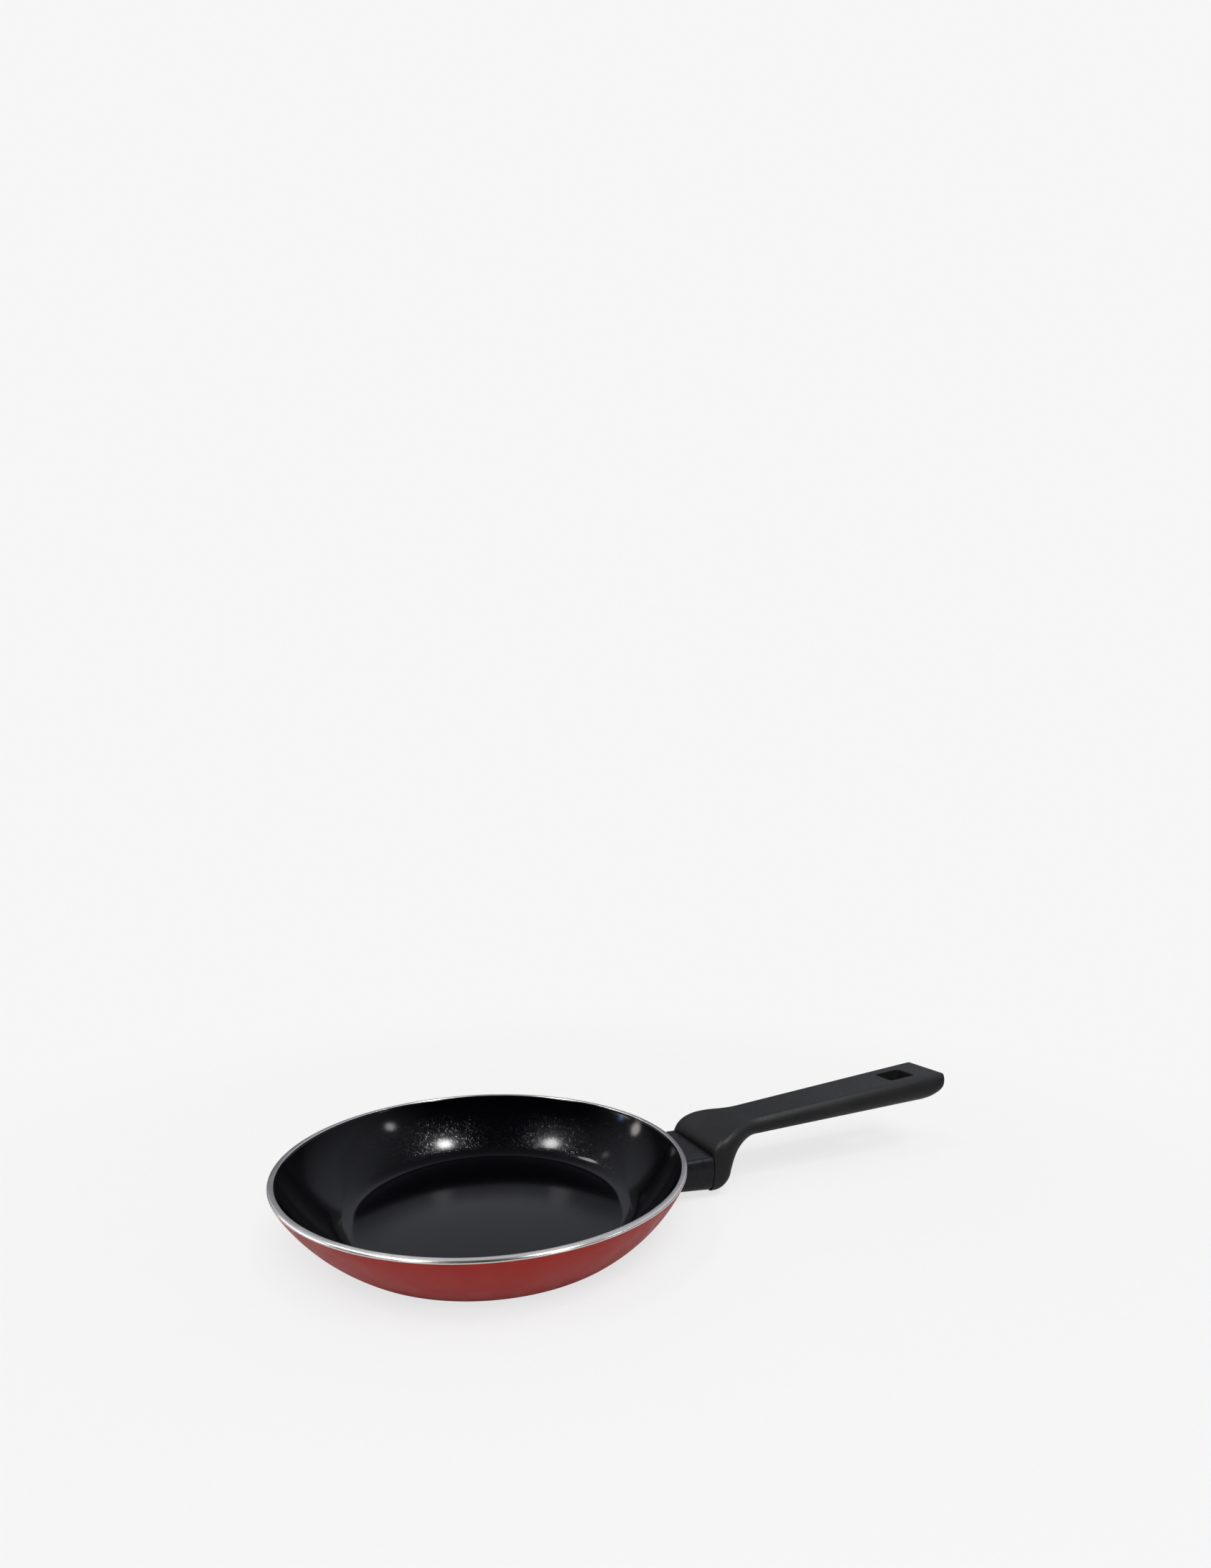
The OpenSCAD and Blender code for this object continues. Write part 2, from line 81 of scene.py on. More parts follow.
def polar(r, a):
    return Vector((r * math.cos(math.radians(a)), r * math.sin(math.radians(a))))


def arc(c, r, a0, a1, n):
    return [Vector(c) + polar(r, a0 + (a1 - a0) * i / n) for i in range(n + 1)]


def direction(v):
    return math.degrees(math.atan2(v[1], v[0]))


def mix(a, b, k):
    return a + (b - a) * k


def ease(k):
    return (1 - math.cos(math.pi * min(1, max(0, k)))) / 2


def bezier(p, k):
    m = 1 - k
    return m * m * m * p[0] + 3 * m * m * k * p[1] + 3 * m * k * k * p[2] + k * k * k * p[3]


def squared(v, power):
    return math.copysign(abs(v) ** power, v)


def wall_centre(bend, bend_r, rim, r):
    """Centre of the wall's arc, which runs smoothly out of the bend and meets the rim."""
    v = rim - bend
    d = v.length
    along = (d * d + (r - bend_r) ** 2 - r * r) / (2 * d)
    off = math.sqrt((r - bend_r) ** 2 - along * along)
    u = v / d
    return bend + along * u + off * Vector((-u[1], u[0]))


# Pieces

def new_piece(name, verts, faces, sharp):
    """A mesh object from points in millimetres, smooth but for edges over the sharp angle."""
    mesh = bpy.data.meshes.new(name)
    mesh.from_pydata([tuple(MM * c for c in v) for v in verts], [], faces)
    obj = bpy.data.objects.new(name, mesh)
    bpy.context.collection.objects.link(obj)
    finish_mesh(mesh, sharp)
    return obj


def finish_mesh(mesh, sharp):
    bm = bmesh.new()
    bm.from_mesh(mesh)
    bmesh.ops.remove_doubles(bm, verts=bm.verts, dist=WELD)
    bmesh.ops.recalc_face_normals(bm, faces=bm.faces)
    for f in bm.faces:
        f.smooth = True
    for e in bm.edges:
        if len(e.link_faces) == 2:
            e.smooth = e.calc_face_angle(0) < math.radians(sharp)
    bm.to_mesh(mesh)
    bm.free()


def lathe(name, profile, sharp, closed=False):
    """A turned piece from points of radius and height; only the first and the last may lie on the axis."""
    verts, faces, rows = [], [], []
    for r, z in profile:
        if r < 1e-6:
            rows.append([len(verts)])
            verts.append((0, 0, z))
        else:
            rows.append(list(range(len(verts), len(verts) + SEGMENTS)))
            for i in range(SEGMENTS):
                a = 2 * math.pi * i / SEGMENTS
                verts.append((r * math.cos(a), r * math.sin(a), z))
    next_rows = rows[1:] + rows[:1] if closed else rows[1:]
    for a, b in zip(rows, next_rows):
        for i in range(SEGMENTS):
            j = (i + 1) % SEGMENTS
            if len(a) == 1:
                faces.append((a[0], b[i], b[j]))
            elif len(b) == 1:
                faces.append((a[i], a[j], b[0]))
            else:
                faces.append((a[i], a[j], b[j], b[i]))
    return new_piece(name, verts, faces, sharp)


def tube(name, rings, caps=True, sharp=40):
    """A skin over rings of equally many points; without caps its last ring meets its first."""
    n = len(rings[0])
    verts = [p for r in rings for p in r]
    faces = []
    count = len(rings)
    for i in range(count - 1 if caps else count):
        for j in range(n):
            a, b = i * n, ((i + 1) % count) * n
            k = (j + 1) % n
            faces.append((a + j, a + k, b + k, b + j))
    if caps:
        faces.append(tuple(range(n)))
        faces.append(tuple(range((count - 1) * n, count * n)))
    return new_piece(name, verts, faces, sharp)


def cut(obj, tool, operation="DIFFERENCE", sharp=40):
    """Cuts the tool out of a piece, or joins it on, and removes the tool."""
    m = obj.modifiers.new("cut", "BOOLEAN")
    m.operation, m.solver, m.object = operation, "EXACT", tool
    bpy.context.view_layer.update()
    shaped = bpy.data.meshes.new_from_object(obj.evaluated_get(bpy.context.evaluated_depsgraph_get()))
    shaped.name = obj.name
    obj.modifiers.clear()
    old = obj.data
    obj.data = shaped
    bpy.data.meshes.remove(old)
    bpy.data.objects.remove(tool)
    finish_mesh(shaped, sharp)


def place(obj, node, material):
    obj.data.materials.clear()
    obj.data.materials.append(material)
    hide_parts(node)
    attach(obj, "root")


# Pan body, lining and enamel

rim_edge = Vector((RIM_R, PAN_H - RIM_ROUND))
outer_bend = Vector((BASE_R, CORNER_R))
outer_wall = wall_centre(outer_bend, CORNER_R, rim_edge, WALL_R)
outer_turn = direction(outer_bend - outer_wall)
rim_bend = Vector((RIM_R - RIM_ROUND, PAN_H - RIM_ROUND))
coat_rise = math.degrees(math.asin((PAN_H - BARE_BAND - outer_wall[1]) / WALL_R))
coat_end = outer_wall + polar(WALL_R, coat_rise)
enamel_angle = ENAMEL_START - 90
inner_edge = Vector((RIM_R - RIM_T, PAN_H - RIM_EASE))
inner_bend = Vector((FLOOR_R, BASE_T + FILLET_R))
inner_wall = wall_centre(inner_bend, FILLET_R, inner_edge, WALL_R)
inner_turn = direction(inner_bend - inner_wall)
inner_stop = direction(inner_edge - inner_wall)


def coat_depth(z):
    """The sprayed coat thins out towards the rim."""
    return ENAMEL_T * (1 - THIN_SHARE * ease((z - PAN_H + THIN_BELOW) / THIN_RUN))


def wall_curve(n=28):
    return arc(outer_wall, WALL_R, outer_turn, direction(coat_end - outer_wall), n)


def inside_curve(o, crown=0.0, n=28, flats=24):
    """The inside, a skin o thick, from its middle to the rim; a crowned floor is level again at its edge."""
    floor_line = [Vector((FLOOR_R * k / flats, BASE_T + o + crown * (1 - (k / flats) ** 2) ** CROWN_POWER))
                  for k in range(flats)]
    return (floor_line
            + arc(inner_bend, FILLET_R - o, -90, inner_turn, n)
            + arc(inner_wall, WALL_R - o, inner_turn, inner_stop, n)[1:])


def wall_radius(z, o):
    """Radius at a height of the wall's outside, grown by o."""
    return outer_wall[0] + math.sqrt((WALL_R + o) ** 2 - (z - outer_wall[1]) ** 2)


def base_curve():
    """The turned base, from its middle out to the bend, with softened grooves."""
    soft = GROOVE_SOFT
    points = [Vector((0, 0))]
    for i in range(GROOVES):
        a = LAND_R + i * GROOVE_PITCH
        b = a + GROOVE_W
        points += [Vector((a - soft, 0)), Vector((a, soft)), Vector((a + soft / 2, GROOVE_DEPTH)),
                   Vector((b - soft / 2, GROOVE_DEPTH)), Vector((b, soft)), Vector((b + soft, 0))]
    return points + arc(outer_bend, CORNER_R, -90, enamel_angle, 5)


bare_wall = arc(outer_bend, CORNER_R, enamel_angle, outer_turn, 14) + wall_curve()[1:]
pan_profile = (base_curve()
               + bare_wall[1:]
               + arc(rim_bend, RIM_ROUND, RIM_START, 90, 14)
               + arc(inner_edge + Vector((RIM_EASE, 0)), RIM_EASE, 90, 180, 6)
               + inside_curve(0)[::-1][1:])
pan_body = lathe("pan_body_turned", pan_profile, sharp=30)

lining_low, lining_high = [arc(inner_wall, WALL_R - o, inner_turn, inner_stop, 1)[1] for o in (0, LINING_T)]
lining_profile = (inside_curve(0)
                  + [mix(lining_low, lining_high, 0.5) + Vector(LINING_EDGE)]
                  + inside_curve(LINING_T, CROWN)[::-1])
lining = lathe("nonstick_lining_coat", lining_profile, sharp=60)

coat_outside = (arc(outer_bend, CORNER_R + ENAMEL_T, enamel_angle, outer_turn, 14)
                + [p + (p - outer_wall).normalized() * coat_depth(p[1]) for p in wall_curve()[1:]])
enamel = lathe("outer_enamel_coat", bare_wall + coat_outside[::-1], sharp=60, closed=True)

# Flame guard

seam_x = RIM_R + GUARD_REACH
mouth_x = seam_x + SEAM_GAP
guard_top = PAN_H - GUARD_DROP
screw_z = guard_top - GUARD_H / 2
guard_flat = GUARD_W / 2 - GUARD_BULGE


def guard_high(x):
    return guard_top - (seam_x - x) * tan(TOP_DRAFT)


def guard_low(x):
    return guard_top - GUARD_H + (seam_x - x) * tan(LOW_DRAFT)


def guard_outline(steps=28, flats=6):
    """Closed outline as (side, flat share, bulge share, height share) once round the section."""
    right = []
    for i in range(steps + 1):
        a = math.pi * (i / steps - 0.5)
        right.append((1.0, 1.0, squared(max(0, math.cos(a)), GUARD_POWER), squared(math.sin(a), GUARD_POWER)))
    top = [(1.0, 1 - 2 * k / flats, 0.0, 1.0) for k in range(1, flats)]
    left = [(-1.0, 1.0, c, s) for _, _, c, s in reversed(right)]
    bottom = [(-1.0, 1 - 2 * k / flats, 0.0, -1.0) for k in range(1, flats)]
    return right + top + left + bottom


def guard_point(q, x, o):
    """A point q of the outline at a place x along the guard, o inside its outer skin."""
    side, flat, bulge, height = q
    middle = (guard_high(x) + guard_low(x)) / 2
    half = (guard_high(x) - guard_low(x)) / 2 - o
    return (x, side * ((guard_flat - o) * flat + GUARD_BULGE * bulge), middle + half * height)


def guard_wall_x(q, o, rounds=12, first_guess=RIM_R - 8):
    """Where a line of the guard along X meets the gap round the coated wall."""
    x = first_guess
    for _ in range(rounds):
        _, y, z = guard_point(q, x, o)
        x = math.sqrt(wall_radius(z, ENAMEL_T + GUARD_GAP) ** 2 - y * y)
    return x


def guard_rings(steps=22, edge=0.22, edge_steps=5):
    """The shell's outside from wall to seam, its rounded edge there, and its inside back to the wall."""
    outline = guard_outline()

    def wall_to(x_end, share, o):
        return [guard_point(q, mix(guard_wall_x(q, o), x_end, share), o) for q in outline]

    rings = [wall_to(seam_x - edge, k / steps, 0.0) for k in range(steps + 1)]
    for k in range(1, edge_steps + 1):
        a = math.radians(90 * k / edge_steps)
        x, o = seam_x - edge * (1 - math.sin(a)), edge * (1 - math.cos(a))
        rings.append([guard_point(q, x, o) for q in outline])
    return rings + [wall_to(seam_x, 1 - k / steps, GUARD_T) for k in range(steps + 1)]


guard = tube("flame_guard_shell", guard_rings(), caps=False)

# Handle

tip_x = RIM_R + REACH
mouth_top = guard_top + LIP
mouth_low = guard_top - GUARD_H - DROP
mouth_flat = guard_flat + SIDE
heel_x = mouth_x + HEEL_T
neck_x = mouth_x + NECK_REACH
tail_top = guard_top + TAIL_RISE
grip_end = tip_x - TAIL_CURVE
counterbore_x = mouth_x + TANG_DEPTH + TANG_SLACK + WEB_T
head_x = counterbore_x + WASHER_T
screw_tip = head_x - SCREW_LEN
SHOULDER_STEPS, BACK_STEPS = 80, 46


def top_z(x):
    return tail_top - (tip_x - x) * tan(TOP_SLOPE)


def under_z(x):
    return top_z(x) - mix(NECK_T, TAIL_T, (x - neck_x) / (grip_end - neck_x))


def run(points):
    """Length of a line of points up to each of them."""
    total, out = 0.0, [0.0]
    for a, b in zip(points, points[1:]):
        total += (b - a).length
        out.append(total)
    return out


shoulder_drop = top_z(mouth_x) - mouth_top
upper_curve = []
for i in range(SHOULDER_STEPS + 1):
    a = math.pi / 2 * i / SHOULDER_STEPS
    x = mouth_x + SHOULDER_RUN * (1 - math.cos(a))
    upper_curve.append(Vector((x, top_z(x) - shoulder_drop * (1 - math.sin(a)))))
upper_curve.append(Vector((neck_x, top_z(neck_x))))
upper_run = run(upper_curve)


def upper_point(s):
    """The point of the upper curve at a length s along it."""
    i = max(j for j in range(len(upper_run) - 1) if upper_run[j] <= s)
    return mix(upper_curve[i], upper_curve[i + 1], (s - upper_run[i]) / (upper_run[i + 1] - upper_run[i]))


heel_bend = Vector((heel_x - HEEL_R, mouth_low + HEEL_R))
neck_low = Vector((neck_x, under_z(neck_x)))
under_slope = (under_z(grip_end) - neck_low[1]) / (grip_end - neck_x)
heel_back = [heel_bend + Vector((HEEL_R, 0)),
             heel_bend + Vector((HEEL_R + BACK_LEAN, (neck_low[1] - heel_bend[1]) * BACK_RISE)),
             neck_low - BACK_RUN * (neck_x - heel_x) * Vector((1, under_slope)),
             neck_low]
lower_curve = ([Vector((mix(mouth_x, heel_bend[0], k / 3), mouth_low)) for k in range(3)]
               + arc(heel_bend, HEEL_R, -90, 0, 18)
               + [bezier(heel_back, i / BACK_STEPS) for i in range(1, BACK_STEPS + 1)])
lower_run = run(lower_curve)


def ring(low, high, flat, base, half, level, crease, power=1.0, steps=14):
    """One section of the handle; its sides' curve meets the flat top at the angle crease."""
    right = []
    for i in range(steps + 1):
        a = math.radians(90 * (i / steps - 1))
        right.append((base + (half - base) * squared(max(0, math.cos(a)), power),
                      level + level * squared(math.sin(a), power)))
    c, s = math.cos(math.radians(crease)), math.sin(math.radians(crease))
    for i in range(1, steps + 1):
        a = math.radians(crease * i / steps)
        right.append((flat + (half - flat) * squared(max(0, (math.cos(a) - c) / (1 - c)), power),
                      level + (1 - level) * squared(math.sin(a) / s, power)))
    section = right + [(-y, t) for y, t in reversed(right)]
    points = []
    for y, t in section:
        p = mix(low, high, t)
        points.append((p[0], y, p[1]))
    return points


def round_off(x, length, depth, power=2.0):
    """How far a rounded end has curved in at a distance x from the tip."""
    if x > length:
        return 0.0
    return depth * (1 - max(0.0, 1 - (1 - x / length) ** power) ** (1 / power))


def mouth_softness(z, fade=1.4):
    """Full on the lower part of the heel's mouth and none at its top, where the seam stays sharp."""
    return 1 - ease((z - mouth_low) / (mouth_top - mouth_low) * (1 + fade) - fade)


def mouth_rings(soft=0.35, steps=5):
    """The heel's mouth, softened at its sides and bottom."""
    rings = []
    for k in range(steps):
        a = math.radians(90 * k / steps)
        inset, forward = soft * (1 - math.sin(a)), soft * (1 - math.cos(a))
        flat = mouth_flat - inset
        section = ring(Vector((mouth_x, mouth_low + inset)), Vector((mouth_x, mouth_top - inset)),
                       flat, flat, mouth_flat + GUARD_BULGE - inset, 0.5, 90, GUARD_POWER)
        rings.append([(x + forward * mouth_softness(z), y, z) for x, y, z in section])
    return rings


def neck_rings():
    """The heel and the neck, where the mouth's section turns into the grip's."""
    rings = []
    for i, low in enumerate(lower_curve[1:], 1):
        high = upper_point(upper_run[-1] * (lower_run[i] / lower_run[-1]) ** FAN_POWER)
        k = ease((high[0] - mouth_x) / NECK_REACH)
        flat = mix(mouth_flat, NECK_FLAT / 2, k)
        half = flat + mix(GUARD_BULGE, GRIP_BULGE, k)
        rings.append(ring(low, high, flat, mix(mouth_flat, GRIP_BASE, k), half,
                          mix(0.5, GRIP_LEVEL, k), mix(90, GRIP_CREASE, k), mix(GUARD_POWER, 1, k)))
    return rings


def grip_ring(x, from_tip=math.inf):
    widening = (x - neck_x) / (tip_x - neck_x)
    flat = mix(NECK_FLAT, TAIL_FLAT, widening) / 2 - round_off(from_tip, TAIL_CORNER, TAIL_CORNER)
    low = under_z(x) + round_off(from_tip, TAIL_CURVE, TAIL_T - NOSE_DROP - TAIL_EDGE, TAIL_POWER)
    high = top_z(x) - round_off(from_tip, NOSE_RUN, NOSE_DROP, NOSE_POWER)
    bulge = GRIP_BULGE - round_off(from_tip, BULGE_RUN, GRIP_BULGE)
    return ring(Vector((x, low)), Vector((x, high)), flat, GRIP_BASE, flat + bulge, GRIP_LEVEL, GRIP_CREASE)


def handle_rings(grip_steps=24, tail_steps=30):
    grip = [grip_ring(mix(neck_x, grip_end, i / grip_steps)) for i in range(1, grip_steps + 1)]
    from_tip = [TAIL_CURVE * (1 - i / tail_steps) ** 2 for i in range(1, tail_steps + 1)]
    return mouth_rings() + neck_rings() + grip + [grip_ring(tip_x - x, x) for x in from_tip]


def slot_outline(grow, n=10):
    points = []
    for sx, sy, a in [(1, 1, 0), (-1, 1, 90), (-1, -1, 180), (1, -1, 270)]:
        c = Vector((sx * (HOLE_L / 2 - HOLE_R), sy * (HOLE_W / 2 - HOLE_R)))
        points += arc(c, HOLE_R + grow, a, a + 90, n)
    return points


def hole_cutter(steps=8, below=30, above=2, past=0.004):
    """The hanging hole, flared at its top so that its edge is rounded."""
    x0 = tip_x - HOLE_FROM_TIP - HOLE_L / 2
    top = Vector((x0, 0, top_z(x0)))
    along = Vector((math.cos(math.radians(TOP_SLOPE)), 0, math.sin(math.radians(TOP_SLOPE))))
    up = Vector((-along[2], 0, along[0]))
    side = Vector((0, 1, 0))
    tilt = math.atan((tan(TOP_SLOPE) + under_slope) / 2)
    axis = Vector((-math.sin(tilt), 0, math.cos(tilt)))

    def slot_ring(grow, shift):
        return [tuple(top + p[0] * along + p[1] * side + shift) for p in slot_outline(grow)]

    rings = [slot_ring(0, -below * axis)]
    for k in range(steps + 1):
        a = math.radians(90 * k / steps)
        h, g = HOLE_EDGE * math.sin(a), HOLE_EDGE * (1 - math.cos(a))
        rings.append(slot_ring(g, (h - HOLE_EDGE + (past if k == steps else 0)) * up))
    rings.append(slot_ring(HOLE_EDGE, above * up))
    return tube("cutter", rings)


def bar_x(x0, x1, section):
    return tube("cutter", [[(x, y, z) for y, z in section] for x in (x0, x1)])


def round_section(r, n=48):
    """A circle round the screw's line, as side and height."""
    turns = [2 * math.pi * i / n for i in range(n)]
    return [(r * math.cos(a), screw_z + r * math.sin(a)) for a in turns]


def box_section(w, h):
    corners = ((1, -1), (1, 1), (-1, 1), (-1, -1))
    return [(sy * w / 2, screw_z + sz * h / 2) for sy, sz in corners]


handle = tube("handle_moulding", handle_rings(), sharp=45)
spigot_x = seam_x - SPIGOT_LEN
spigot_rings = [[guard_point(q, x, GUARD_T + SPIGOT_SLACK) for q in guard_outline()]
                for x in (spigot_x, mouth_x + 1)]
cut(handle, tube("spigot", spigot_rings), "UNION")
cut(handle, bar_x(spigot_x - 1, mouth_x + TANG_DEPTH + TANG_SLACK,
                  box_section(TANG_W + 2 * TANG_SLACK, TANG_H + 2 * TANG_SLACK)))
cut(handle, bar_x(seam_x, counterbore_x + 1, round_section(SCREW_D / 2 + SHANK_SLACK)))
cut(handle, bar_x(counterbore_x, counterbore_x + HEEL_T, round_section(WASHER_D / 2 + HEAD_SLACK, 64)))
cut(handle, hole_cutter())
weigh = handle.modifiers.new("weigh", "WEIGHTED_NORMAL")
weigh.keep_sharp = True


# Screw and washer

def head_rings(chamfer=0.15, side=0.9, fullness=0.7, steps=10):
    """The screw's domed head, from its seat out."""
    r = HEAD_D / 2
    profile = [(0, r - chamfer), (chamfer, r), (side, r)]
    for k in range(1, steps):
        a = math.pi / 2 * k / steps
        profile.append((side + (HEAD_H - side) * math.sin(a), r * math.cos(a) ** fullness))
    return [[(head_x + p, y, z) for y, z in round_section(q, 64)] for p, q in profile]


def thread_rings(pitch=0.8, depth=0.35, n=40, per_turn=10, plain_len=5, fade_run=1.5, point=(0.8, 0.5)):
    """A rolled thread from the tip, running out before the head; the point is a run and a depth."""
    rings = []
    x, step = screw_tip, pitch / per_turn
    while x < head_x - 0.01:
        ring_points = []
        for i in range(n):
            phase = (x / pitch - i / n) % 1
            fade = min(1, max(0, (head_x - plain_len - x) / fade_run))
            end = min(1, (x - screw_tip) / point[0])
            r = SCREW_D / 2 - depth * fade * abs(2 * phase - 1) - point[1] * (1 - end)
            a = 2 * math.pi * i / n
            ring_points.append((x, r * math.cos(a), screw_z + r * math.sin(a)))
        rings.append(ring_points)
        x += step
    rings.append([(head_x + 0.3, p[1], p[2]) for p in rings[-1]])
    return rings


screw = tube("handle_screw_thread", thread_rings(), sharp=30)
cut(screw, tube("head", head_rings()), "UNION", sharp=30)
recess_w, recess_l, recess_taper = HEAD_D / 7, HEAD_D * 0.6, 0.72
for w, l in ((recess_w, recess_l), (recess_l, recess_w)):
    rings = [[(x, y, z) for y, z in box_section(w * s, l * s)]
             for x, s in ((head_x + HEAD_H + 1, 1.0), (head_x + HEAD_H / 2, recess_taper))]
    cut(screw, tube("cutter", rings), sharp=30)


def washer_rings(rise=0.28, turn=350, n=96, soft_in=0.08, soft_out=0.1):
    """A split spring washer: one turn of a square bar whose ends stand a little apart."""
    inner, outer = SCREW_D / 2 + SHANK_SLACK, WASHER_D / 2
    t = WASHER_T - rise
    rings = []
    for i in range(n + 1):
        a = math.radians(90 + (360 - turn) / 2 + turn * i / n)
        x = counterbore_x + rise * i / n
        section = [(x + soft_in, inner), (x, inner + soft_in), (x, outer - soft_out), (x + soft_out, outer),
                   (x + t - soft_out, outer), (x + t, outer - soft_out), (x + t, inner + soft_in),
                   (x + t - soft_in, inner)]
        rings.append([(px, r * math.cos(a), screw_z + r * math.sin(a)) for px, r in section])
    return rings


washer = tube("lock_washer_spring", washer_rings(), sharp=30)

# Bare patch of the enamel under the bracket's foot

foot_x = wall_radius(guard_top - GUARD_H, 0)
foot_high = guard_high(foot_x) - GUARD_T - FOOT_SLACK
foot_low = guard_low(foot_x) + GUARD_T + FOOT_SLACK
patch = [(FOOT_W / 2, foot_low), (FOOT_W / 2, foot_high), (-FOOT_W / 2, foot_high), (-FOOT_W / 2, foot_low)]
cut(enamel, bar_x(BASE_R, RIM_R + 1, patch), sharp=60)


# Shader nodes

def wired(tree, kind, inputs=(), **props):
    """A new node; each of its inputs is a value or the socket that feeds it."""
    n = tree.nodes.new(kind)
    for k, v in props.items():
        setattr(n, k, v)
    for k, v in dict(inputs).items():
        if isinstance(v, bpy.types.NodeSocket):
            tree.links.new(v, n.inputs[k])
        else:
            n.inputs[k].default_value = v
    return n


def maths(tree, operation, a, b):
    return wired(tree, "ShaderNodeMath", {0: a, 1: b}, operation=operation).outputs[0]


def vector_maths(tree, operation, inputs, out=0):
    return wired(tree, "ShaderNodeVectorMath", inputs, operation=operation).outputs[out]


def ranged(tree, value, low, high, out_low=0.0, out_high=1.0, smooth=True):
    """The value's range from low to high, mapped to another and kept within it."""
    ends = {"Value": value, "From Min": low, "From Max": high, "To Min": out_low, "To Max": out_high}
    curve = "SMOOTHSTEP" if smooth else "LINEAR"
    return wired(tree, "ShaderNodeMapRange", ends, interpolation_type=curve).outputs["Result"]


# Materials

class Paint:
    """A node material around one Principled shader, with short helpers for its nodes."""

    def __init__(self, name, **sockets):
        self.mat = bpy.data.materials.new(name)
        self.mat.use_nodes = True
        self.tree = self.mat.node_tree
        self.shader = self.tree.nodes["Principled BSDF"]
        self.coord = self.node("ShaderNodeTexCoord").outputs["Object"]
        for k, v in sockets.items():
            self.set(k, v)

    def set(self, socket, value):
        s = self.shader.inputs[socket.replace("_", " ")]
        if isinstance(value, bpy.types.NodeSocket):
            self.tree.links.new(value, s)
        else:
            s.default_value = value

    def node(self, kind, inputs=(), **props):
        return wired(self.tree, kind, inputs, **props)

    def noise(self, scale, detail, rough, vector=None):
        inputs = {"Vector": vector or self.coord, "Scale": scale, "Detail": detail, "Roughness": rough}
        return self.node("ShaderNodeTexNoise", inputs).outputs["Fac"]

    def cells(self, scale):
        n = self.node("ShaderNodeTexVoronoi", {"Vector": self.coord, "Scale": scale})
        return n.outputs["Distance"], n.outputs["Color"]

    def ramp(self, value, low, high, out_low=0.0, out_high=1.0, smooth=True):
        return ranged(self.tree, value, low, high, out_low, out_high, smooth)

    def math(self, operation, a, b):
        return maths(self.tree, operation, a, b)

    def vectors(self, operation, inputs, out=0):
        return vector_maths(self.tree, operation, inputs, out)

    def blend(self, a, b, k):
        """The colour a, turned into b by the share k."""
        a, b = [(*c, 1) if isinstance(c, tuple) else c for c in (a, b)]
        return self.node("ShaderNodeMix", {0: k, 6: a, 7: b}, data_type="RGBA").outputs[2]

    def bump(self, height, distance, strength):
        return self.node("ShaderNodeBump", {"Height": height, "Distance": distance,
                                            "Strength": strength}).outputs["Normal"]

    def radius(self):
        flat = self.vectors("MULTIPLY", {0: self.coord, 1: (1, 1, 0)})
        return self.vectors("LENGTH", {0: flat}, "Value")

    def height(self):
        return self.node("ShaderNodeSeparateXYZ", {0: self.coord}).outputs[2]


def bare_aluminium():
    """Turned metal: its fine rings spread a highlight across themselves and keep it short along them."""
    p = Paint("bare_aluminium", Metallic=1.0, Anisotropic=0.75, Anisotropic_Rotation=0.25)
    p.set("Tangent", p.node("ShaderNodeTangent", direction_type="RADIAL", axis="Z").outputs[0])
    section = p.node("ShaderNodeCombineXYZ", {0: p.radius(), 1: p.height(), 2: 0.0}).outputs[0]
    fine = p.noise(9000, 2, 0.6, section)
    broad = p.noise(60, 3, 0.5)
    mean = p.math("ADD", p.math("MULTIPLY", fine, 0.5), p.math("MULTIPLY", broad, 0.5))
    p.set("Base Color", p.blend((0.54, 0.53, 0.50), (0.61, 0.60, 0.565), broad))
    p.set("Roughness", p.ramp(mean, 0.3, 0.7, 0.20, 0.30))
    p.set("Normal", p.bump(fine, 0.00001, 0.6))
    return p.mat


